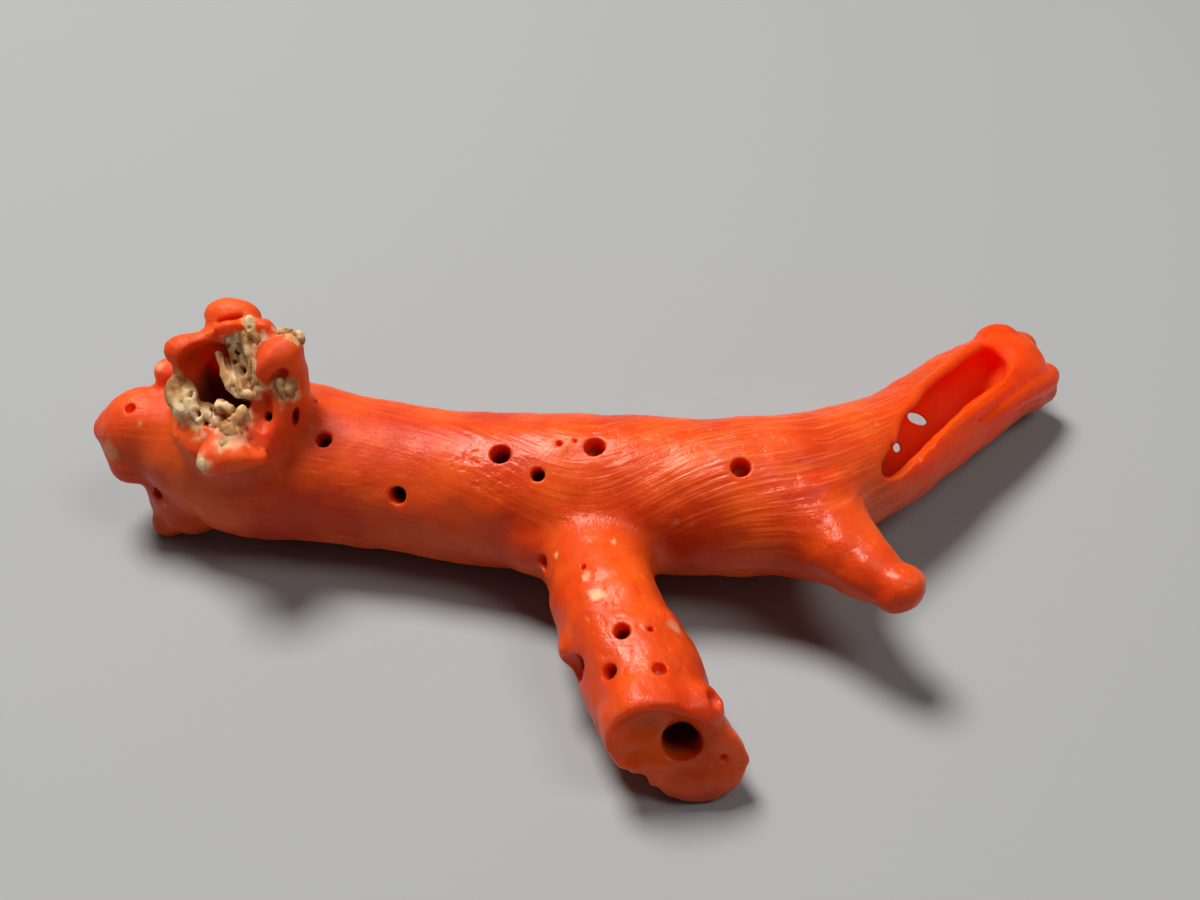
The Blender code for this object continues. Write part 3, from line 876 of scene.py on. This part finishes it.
def closeness(item, points, reach):
    """How near each point is to an object's surface: 1 on it, 0 from a reach away."""
    tree = BVHTree.FromObject(item, bpy.context.evaluated_depsgraph_get())
    found = np.zeros(len(points))
    for index, point in enumerate(points):
        distance = tree.find_nearest(point, reach)[3]
        if distance is not None:
            found[index] = 1.0 - distance / reach
    return found


def groove_strength(points):
    """The grooves are plain on the right half and faint on the left and on the tips."""
    strength = 0.3 + 0.7 * fade(points[:, 0], -6.0, 4.0)
    tip = fade(points[:, 0], 18.0, 14.5)
    short_tip = 1.0 - 0.85 * fade(points[:, 1], -5.2, -7.0) * fade(points[:, 0], 6.0, 8.0)
    front = 1.0 - 0.85 * fade(points[:, 1], -4.6, -6.4) * fade(points[:, 0], 6.0, 4.0)
    return strength * tip * short_tip * front


def dress_skin(body, hollows):
    """Fine relief: long ridges and grooves along the growth, small lumps, pits, smooth hollow walls."""
    points = vertex_array(body)
    normals = vertex_array(body, "normal")
    inside = fade(closeness(hollows, points, 0.5), 0.55, 0.8)
    growth = growth_lines(points)
    grooves = groove_strength(points) * (1.0 - inside)
    ridge_height = 0.024
    groove_height = 0.021
    lump_height = 0.03
    small_lump_height = 0.014
    pit_depth = 0.035
    relief = ridge_height * grooves * line_relief(*growth, pitch=0.9, length=5.0, seed=3)
    relief += groove_height * grooves * line_relief(*growth, pitch=0.36, length=4.0, seed=11)
    front = fade(points[:, 1], -6.5, -8.5) * fade(points[:, 0], 7.0, 6.0)
    relief += lump_height * (1.0 + 1.3 * front) * rough_grain(points / 0.9, 21, 2)
    relief += small_lump_height * (1.0 - 0.6 * inside) * rough_grain(points / 0.42, 31, 2)
    pitted = fade(grain(points / 2.5, 41), -0.3, 0.5) * fade(normals[:, 2], 0.3, 0.8)
    relief -= pit_depth * pitted * (1.0 - inside) * fade(grain(points / 0.17, 43), 0.35, 0.85)
    move_vertices(body, points + normals * relief[:, None])


def soften_worn_places(body):
    """The broken faces and the walls at the hollow branch's tip are worn."""
    front = face_frame(FRONT_FACE)
    soften(body, PLUG_RAMP, RAMP_SMOOTHING)
    soften(body, [(tuple(front @ Vector(place)), reach) for place, reach in WORN_FACE], FACE_SMOOTHING)
    soften(body, NEAR_WALL, WALL_SMOOTHING)
    soften(body, WALL_END, WALL_END_SMOOTHING)


def build_coral():
    """The coral's skin, with the whole body before its hollows and the hollows, to measure by."""
    body = grow_coral()
    whole = duplicate(body, "whole")
    hollows = hollow_shapes()
    carve(body, hollows)
    body = fuse("coral", [body] + rim_shapes(), SKIN_VOXEL)
    work(body, "SMOOTH", factor=0.5, iterations=3)
    soften_worn_places(body)
    dress_skin(body, hollows)
    level_feet(body)
    thin_out(body, CORAL_TRIANGLES)
    return body, whole, hollows


# ------------------------------------------------------------------ the crust

def face_route(face, marks):
    """A route given in a face's own frame (right, up, out and radius), as one in space."""
    base = face_frame(face)
    return [(*(base @ Vector(mark[:3])), mark[3]) for mark in marks]


def build_crust():
    """Cream crust in the cup: a band on the left, strands round pits on the right, and crumbs."""
    parts = [limb(name, face_route(CUP_FACE, marks), 0.35) for name, marks in CRUST_STRANDS]
    parts += [face_lump(name, CUP_FACE, *shape) for name, *shape in (
        ("bottom left", (-1.0, -0.9, -0.45), (0.6, 0.5, 0.5), 0),
        ("floor fill", (-0.45, -1.2, -0.95), (0.95, 0.65, 0.9), 0),
        ("knob", (-0.05, -0.61, -0.15), (0.42, 0.26, 0.4), -25),
        ("comb back", (0.68, 1.5, -0.26), (0.72, 1.0, 0.3), 0),
        ("comb middle", (0.66, 0.65, -0.27), (0.66, 0.8, 0.32), -20),
        ("comb shoulder", (1.4, 2.0, 0.05), (0.2, 0.28, 0.26), 0),
        ("comb foot", (0.82, 0.1, -0.3), (0.45, 0.45, 0.35), 0),
        ("lip sheet", (0.32, -1.62, 0.45), (0.48, 0.4, 0.36), -15),
        ("lip sheet foot", (0.25, -2.05, 0.72), (0.24, 0.22, 0.28), 0),
        ("lip top crust", (2.5, 2.2, -0.2), (0.5, 0.2, 0.42), -8),
        ("lip top crumb", (2.85, 2.02, -0.15), (0.22, 0.16, 0.3), -30),
        ("wall patch", (2.42, 0.1, -0.15), (0.44, 0.32, 0.3), 25),
        ("wall crumb", (2.15, 0.3, -0.1), (0.22, 0.22, 0.25), 0),
        ("corner crumb", (-0.5, -2.72, 1.05), (0.15, 0.26, 0.2), 10),
    )]
    crust = fuse("crust_in_the_cup", parts, CRUST_VOXEL)
    pores = [face_lump("pore", CUP_FACE, *shape) for shape in (
        ((0.47, 1.54, 0.3), (0.15, 0.19, 0.8), 0),
        ((0.7, 0.8, 0.3), (0.17, 0.25, 0.8), 15),
        ((0.42, 1.15, 0.3), (0.1, 0.13, 0.5), 0),
        ((-1.62, -0.55, 0.3), (0.08, 0.28, 0.5), 25),
        ((-1.35, -0.1, 0.3), (0.1, 0.2, 0.6), 0),
        ((-1.1, -0.85, 0.0), (0.14, 0.22, 0.5), 20),
        ((-0.75, -1.25, 0.0), (0.2, 0.1, 0.5), 10),
        ((1.08, 1.7, 0.3), (0.06, 0.4, 0.5), -6),
        ((0.12, 1.78, 0.25), (0.2, 0.08, 0.45), 8),
        ((1.12, 0.85, 0.3), (0.06, 0.4, 0.5), 4),
        ((-0.62, -0.72, 0.15), (0.09, 0.3, 0.5), 20),
    )]
    cutter = fuse("pores", pores, CRUST_VOXEL)
    carve(crust, cutter)
    scrap(cutter)
    work(crust, "REMESH", mode="VOXEL", voxel_size=CRUST_VOXEL)
    work(crust, "SMOOTH", factor=0.5, iterations=2)
    roughen_crust(crust)
    return thin_out(crust, CRUST_TRIANGLES)


def roughen_crust(crust):
    """Lumps, slanting strands and pits, with a note of how deep each point lies, for the painted shade in
    the material.
    """
    points = vertex_array(crust)
    normals = vertex_array(crust, "normal")
    base = face_frame(CUP_FACE)
    flat = (points - np.array(base.translation)) @ np.array(base.to_3x3())
    slanted = flat + np.outer(flat[:, 1], (0.25, 0.0, 0.0))
    fibres = 1.0 - 2.2 * np.abs(grain(slanted / (0.16, 1.2, 0.3), 55))
    strands = 1.0 - 2.2 * np.abs(grain(slanted / (0.42, 1.6, 0.5), 57))
    lumps = rough_grain(points / 0.6, 51, 3)
    pits = fade(grain(points / 0.3, 61), 0.45, 0.9)
    lump_height = 0.075
    fibre_height = 0.06
    strand_height = 0.05
    pit_depth = 0.1
    relief = lump_height * lumps + fibre_height * fibres + strand_height * strands - pit_depth * pits
    move_vertices(crust, points + normals * relief[:, None])
    # How deep each point lies in the crust's relief, kept for the painted shade in its pits and gaps.
    deep = fade(flat[:, 2], 0.14, -0.25)
    note_values(crust, "hollowness", np.clip(0.34 - 4.2 * relief + 0.5 * deep, 0.0, 1.0))


# ----------------------------------------------------------------- materials

# Colours of the coral, of the crust and of the floor.
DEEP_RED = (0.62, 0.032, 0.003)
ORANGE_RED = (0.84, 0.10, 0.008)
BROAD_STREAK = (0.84, 0.13, 0.02)
# Pale growth streaks: partly the coral's own banding, partly painted highlight where the grooves catch
# the light.
PALE_STREAK_AND_PAINTED_HIGHLIGHT = (0.95, 0.20, 0.04)
# Painted glow: the colour of thin walls as if light shone through them.
THIN_WALL_PAINTED_GLOW = (0.97, 0.06, 0.002)
# Painted light: the inside of the trough, brightened as if lit through its walls.
LIT_TROUGH = (0.97, 0.055, 0.003)
# Painted shade: near black, for the deep parts of bores and hollows.
BORE_PAINTED_SHADE = (0.09, 0.006, 0.001)
LIGHT_DOT = (0.88, 0.30, 0.12)
LIME_DUST = (0.86, 0.56, 0.30)
CRUST_BROWN = (0.34, 0.13, 0.03)
CRUST_TAN = (0.58, 0.31, 0.11)
CRUST_CREAM = (0.84, 0.62, 0.34)
# Painted shade: dark brown for the crust's pits and gaps.
CRUST_PIT_PAINTED_SHADE = (0.24, 0.07, 0.012)
FLOOR_GREY = (0.34, 0.34, 0.33)


class Finish:
    """A material, with short ways to make the nodes that feed its shader. Noise scales are per metre."""

    def __init__(self, name):
        self.material = bpy.data.materials.new(name)
        self.material.use_nodes = True
        self.tree = self.material.node_tree
        self.shader = self.tree.nodes["Principled BSDF"].inputs

    def add(self, kind, **settings):
        node = self.tree.nodes.new("ShaderNode" + kind)
        for name, value in settings.items():
            setattr(node, name, value)
        return node

    def feed(self, socket, value):
        """Gives a socket a number, a colour or another node's output."""
        if isinstance(value, tuple):
            socket.default_value = (*value, 1.0)
        elif isinstance(value, (int, float)):
            socket.default_value = value
        else:
            self.tree.links.new(value, socket)

    def place(self):
        return self.add("TexCoord").outputs["Object"]

    def read(self, name, output="Fac"):
        return self.add("Attribute", attribute_name=name).outputs[output]

    def math_node(self, operation, first, second):
        node = self.add("Math", operation=operation)
        self.feed(node.inputs[0], first)
        self.feed(node.inputs[1], second)
        return node.outputs[0]

    def times(self, first, second):
        return self.math_node("MULTIPLY", first, second)

    def plus(self, first, second):
        return self.math_node("ADD", first, second)

    def minus(self, first, second):
        return self.math_node("SUBTRACT", first, second)

    def mix(self, share, first, second, kind="RGBA"):
        """A mix of two colours, or of two numbers."""
        node = self.add("Mix", data_type=kind)
        colours = kind == "RGBA"
        self.feed(node.inputs[0], share)
        self.feed(node.inputs[6 if colours else 2], first)
        self.feed(node.inputs[7 if colours else 3], second)
        return node.outputs[2 if colours else 0]

    def noise(self, coordinates, scale, detail):
        node = self.add("TexNoise")
        self.feed(node.inputs["Scale"], scale)
        self.feed(node.inputs["Detail"], detail)
        self.feed(node.inputs["Vector"], coordinates)
        return node.outputs["Fac"]

    def stretched_noise(self, coordinates, stretch, detail):
        mapping = self.add("Mapping")
        mapping.inputs["Scale"].default_value = stretch
        self.feed(mapping.inputs["Vector"], coordinates)
        return self.noise(mapping.outputs[0], 1.0, detail)

    def ramp(self, value, *stops):
        """Greys or colours at some places between 0 and 1."""
        node = self.add("ValToRGB")
        elements = node.color_ramp.elements
        while len(elements) < len(stops):
            elements.new(0.5)
        for element, (position, tone) in zip(elements, stops):
            element.position = position
            element.color = (tone, tone, tone, 1.0) if isinstance(tone, float) else (*tone, 1.0)
        self.feed(node.inputs[0], value)
        return node.outputs[0]

    def bump(self, height, strength, distance, below=None):
        """Fine relief on top of the relief below it."""
        node = self.add("Bump")
        self.feed(node.inputs["Height"], height)
        self.feed(node.inputs["Strength"], strength)
        self.feed(node.inputs["Distance"], distance)
        if below is not None:
            self.feed(node.inputs["Normal"], below)
        return node.outputs[0]


def coral_material():
    """Waxy orange-red with pale streaks along the growth (partly painted highlight), painted glow in the
    thin walls and the trough, painted shade in the bores, and lime dust.
    """
    skin = Finish("red_coral_skin")
    place = skin.place()
    main = skin.read("main_growth", "Vector")
    branch = skin.read("branch_growth", "Vector")
    share = skin.read("branch_share")
    grooves = skin.read("grooves")
    glow = skin.read("glow")
    thin = skin.read("thin")
    shade = skin.read("shade")
    pale = skin.read("pale")
    dull = skin.read("dull")

    def growth_noise(pitch, length, detail):
        stretch = growth_stretch(pitch, length)
        first = skin.stretched_noise(main, stretch, detail)
        second = skin.stretched_noise(branch, stretch, detail)
        return skin.mix(share, first, second, "FLOAT")

    fine_lines = growth_noise(0.17, 2.6, 2.0)
    wide_lines = growth_noise(0.6, 6.0, 1.0)

    colour = skin.ramp(skin.noise(place, 330.0, 3.0), (0.34, DEEP_RED), (0.66, ORANGE_RED))
    # Paler along the fine growth lines: partly the coral's own banding, partly painted highlight on the
    # ridges.
    streaks = skin.times(skin.ramp(fine_lines, (0.5, 0.0), (0.68, 1.0)), grooves)
    colour = skin.mix(skin.times(streaks, 0.6), colour, PALE_STREAK_AND_PAINTED_HIGHLIGHT)
    broad = skin.times(skin.ramp(wide_lines, (0.3, 0.0), (0.7, 1.0)), grooves)
    colour = skin.mix(skin.times(broad, 0.2), colour, BROAD_STREAK)
    # Painted glow: the thin walls by the trough are brightened as if light shone through them.
    colour = skin.mix(skin.times(thin, 0.75), colour, THIN_WALL_PAINTED_GLOW)
    # Painted glow inside the trough.
    colour = skin.mix(skin.times(glow, 0.9), colour, LIT_TROUGH)
    # Painted shade: darker the deeper a point lies in a bore or hollow.
    colour = skin.mix(skin.times(shade, 0.9), colour, BORE_PAINTED_SHADE)
    dots = skin.ramp(skin.noise(place, 2600.0, 2.0), (0.68, 0.0), (0.74, 1.0))
    colour = skin.mix(skin.times(dots, 0.16), colour, LIGHT_DOT)
    colour = skin.mix(pale, colour, LIME_DUST)
    skin.feed(skin.shader["Base Color"], colour)

    # Light goes into the coral, further in the thin walls and less in the bores.
    skin.feed(skin.shader["Subsurface Weight"], skin.minus(0.8, skin.times(shade, 0.7)))
    skin.shader["Subsurface Radius"].default_value = (1.0, 0.13, 0.02)
    skin.feed(skin.shader["Subsurface Scale"], skin.plus(0.0010, skin.times(thin, 0.0016)))

    # It is half glossy, and duller in the trough, under the dust and on the worn places.
    skin.shader["IOR"].default_value = 1.5
    skin.feed(skin.shader["Specular IOR Level"], skin.minus(0.36, skin.times(thin, 0.2)))
    skin.feed(skin.shader["Specular Tint"], (1.0, 0.78, 0.66))
    rough = skin.ramp(skin.noise(place, 900.0, 3.0), (0.3, 0.29), (0.7, 0.45))
    for dulling, amount in ((glow, 0.22), (pale, 0.3), (dull, 0.16)):
        rough = skin.plus(rough, skin.times(dulling, amount))
    skin.feed(skin.shader["Roughness"], rough)

    # The finest grain: patches of shallow pores, two sizes of tooth, and the growth's finest lines.
    cells = skin.add("TexVoronoi")
    skin.feed(cells.inputs["Scale"], 6500.0)
    skin.feed(cells.inputs["Vector"], place)
    pores = skin.ramp(cells.outputs["Distance"], (0.1, 0.0), (0.42, 1.0))
    patches = skin.ramp(skin.noise(place, 420.0, 2.0), (0.42, 0.0), (0.62, 1.0))
    relief = skin.bump(pores, skin.times(patches, 0.5), 0.000022)
    relief = skin.bump(skin.noise(place, 3300.0, 3.0), 0.6, 0.00004, relief)
    relief = skin.bump(skin.noise(place, 11000.0, 2.0), 0.5, 0.000012, relief)
    relief = skin.bump(fine_lines, skin.times(grooves, 0.8), 0.0001, relief)
    skin.feed(skin.shader["Normal"], relief)
    return skin.material


def crust_material():
    """Dry cream lime of mottled tones, with painted shade in its pits and gaps."""
    lime = Finish("cream_lime_crust")
    place = lime.place()
    tints = lime.noise(place, 800.0, 4.0)
    cream = lime.ramp(tints, (0.42, CRUST_BROWN), (0.52, CRUST_TAN), (0.63, CRUST_CREAM))
    # Painted shade: the deeper parts of the crust are mixed toward dark brown.
    pits = lime.ramp(lime.read("hollowness"), (0.2, 0.0), (0.85, 1.0))
    lime.feed(lime.shader["Base Color"], lime.mix(pits, cream, CRUST_PIT_PAINTED_SHADE))
    lime.feed(lime.shader["Roughness"], 0.75)
    lime.feed(lime.shader["Subsurface Weight"], 0.15)
    lime.shader["Subsurface Radius"].default_value = (1.0, 0.6, 0.3)
    lime.feed(lime.shader["Subsurface Scale"], 0.0003)
    lime.feed(lime.shader["Normal"], lime.bump(lime.noise(place, 6000.0, 3.0), 0.6, 0.00004))
    return lime.material


def floor_material():
    floor = Finish("pale_floor")
    floor.feed(floor.shader["Base Color"], FLOOR_GREY)
    floor.feed(floor.shader["Roughness"], 0.8)
    return floor.material


# ------------------------------------------------------------------ finishing

def describe_skin(coral, whole, hollows, crust):
    """Keeps what the coral's material needs at each vertex: how much of each finish is there, and where
    glow and shade are painted.
    """
    points = vertex_array(coral)
    main, branch, share = growth_lines(points)
    inside = fade(closeness(hollows, points, 0.5), 0.6, 0.85)
    deepest = 1.6
    depth = deepest * (1.0 - closeness(whole, points, deepest))
    trough = fade(points[:, 0], 10.0, 14.0) * fade(points[:, 1], -5.0, -3.0)
    note_values(coral, "main_growth", main)
    note_values(coral, "branch_growth", branch)
    note_values(coral, "branch_share", share)
    note_values(coral, "grooves", groove_strength(points) * (1.0 - inside))
    # Where the walls by the trough are thin; the material paints a glow there.
    thin = fade(closeness(hollows, points, 1.5), 0.1, 0.6) * trough
    # Painted glow inside the trough, growing with depth.
    note_values(coral, "glow", inside * trough * fade(depth, 0.1, 0.5))
    note_values(coral, "thin", thin)
    # Painted shade in bores and hollows, by depth under the whole body's skin.
    note_values(coral, "shade", fade(depth, 0.4, 1.2) * inside * (1.0 - trough))
    ramp = 1.0 - np.linalg.norm(points - np.array(DULL_PLACE), axis=1) / DULL_REACH
    note_values(coral, "dull", np.maximum(fade(points[:, 0], -4.0, -9.0), fade(ramp, 0.0, 0.5)))
    dust = 0.8 * fade(closeness(crust, points, 0.5) + 0.5 * rough_grain(points / 0.3, 71, 3), 0.55, 1.15)
    for place, size, strength in PALE_SPOTS:
        spot = np.linalg.norm(points - np.array(place), axis=1) * (1.0 + 0.45 * grain(points / 0.22, 73))
        dust = np.maximum(dust, strength * fade(spot, size, size * 0.4))
    note_values(coral, "pale", np.clip(dust, 0.0, 1.0))


def bring_home(item, material):
    """Puts a finished piece in its final place, in metres, and gives it its material."""
    item.location = HOME * MM
    item.scale = (MM, MM, MM)
    settle(item)
    item.data.materials.clear()
    item.data.materials.append(material)
    pick_up(item)
    bpy.ops.object.shade_smooth()


def lay_floor():
    put_down()
    bpy.ops.mesh.primitive_plane_add(size=3.0, location=(0, 0, 0))
    floor = bpy.context.object
    floor.name = "floor"
    floor.data.materials.append(floor_material())


def hang_light(name, direction, distance, size, power):
    """A round soft light that shines on the middle of the floor."""
    light = bpy.data.lights.new(name, "AREA")
    light.shape = "DISK"
    light.size = size
    light.energy = power
    lamp = bpy.data.objects.new(name, light)
    bpy.context.scene.collection.objects.link(lamp)
    way = Vector(direction).normalized()
    lamp.location = way * distance
    lamp.rotation_euler = way.to_track_quat("Z", "Y").to_euler()


def set_stage():
    lay_floor()
    hang_light("overhead softbox", (-0.27, 0.3, 0.92), distance=0.35, size=0.13, power=1.5)
    hang_light("right softbox", (0.45, -0.2, 0.88), distance=0.4, size=0.16, power=0.34)
    world = bpy.data.worlds.new("studio")
    world.use_nodes = True
    backdrop = world.node_tree.nodes["Background"].inputs
    backdrop["Color"].default_value = (0.9, 0.93, 1.0, 1.0)
    backdrop["Strength"].default_value = 0.06
    bpy.context.scene.world = world
    bpy.context.scene.view_settings.view_transform = "Standard"


def set_camera():
    """Looks down at the coral from the front."""
    height = math.radians(VIEW_HEIGHT)
    target = (Vector((0.0, 0.0, 3.6)) + HOME) * MM
    back = Vector((0.0, -math.cos(height), math.sin(height)))
    lens = bpy.data.cameras.new("camera")
    lens.lens = 40.0
    lens.sensor_width = 36.0
    lens.clip_start = 0.001
    lens.clip_end = 20.0
    lens.dof.use_dof = False
    camera = bpy.data.objects.new("camera", lens)
    bpy.context.scene.collection.objects.link(camera)
    camera.location = target + back * VIEW_DISTANCE
    camera.rotation_euler = back.to_track_quat("Z", "Y").to_euler()
    bpy.context.scene.camera = camera


coral, whole, hollows = build_coral()
crust = build_crust()
describe_skin(coral, whole, hollows, crust)
scrap(whole)
scrap(hollows)
coral.name = "coral_branch"
bring_home(coral, coral_material())
bring_home(crust, crust_material())

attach(coral, "root")
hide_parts("trunk", "end_lobe", "crusted_branch", "front_branch", "short_branch", "hollow_branch")
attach(crust, "root")
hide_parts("crust")

set_stage()
set_camera()
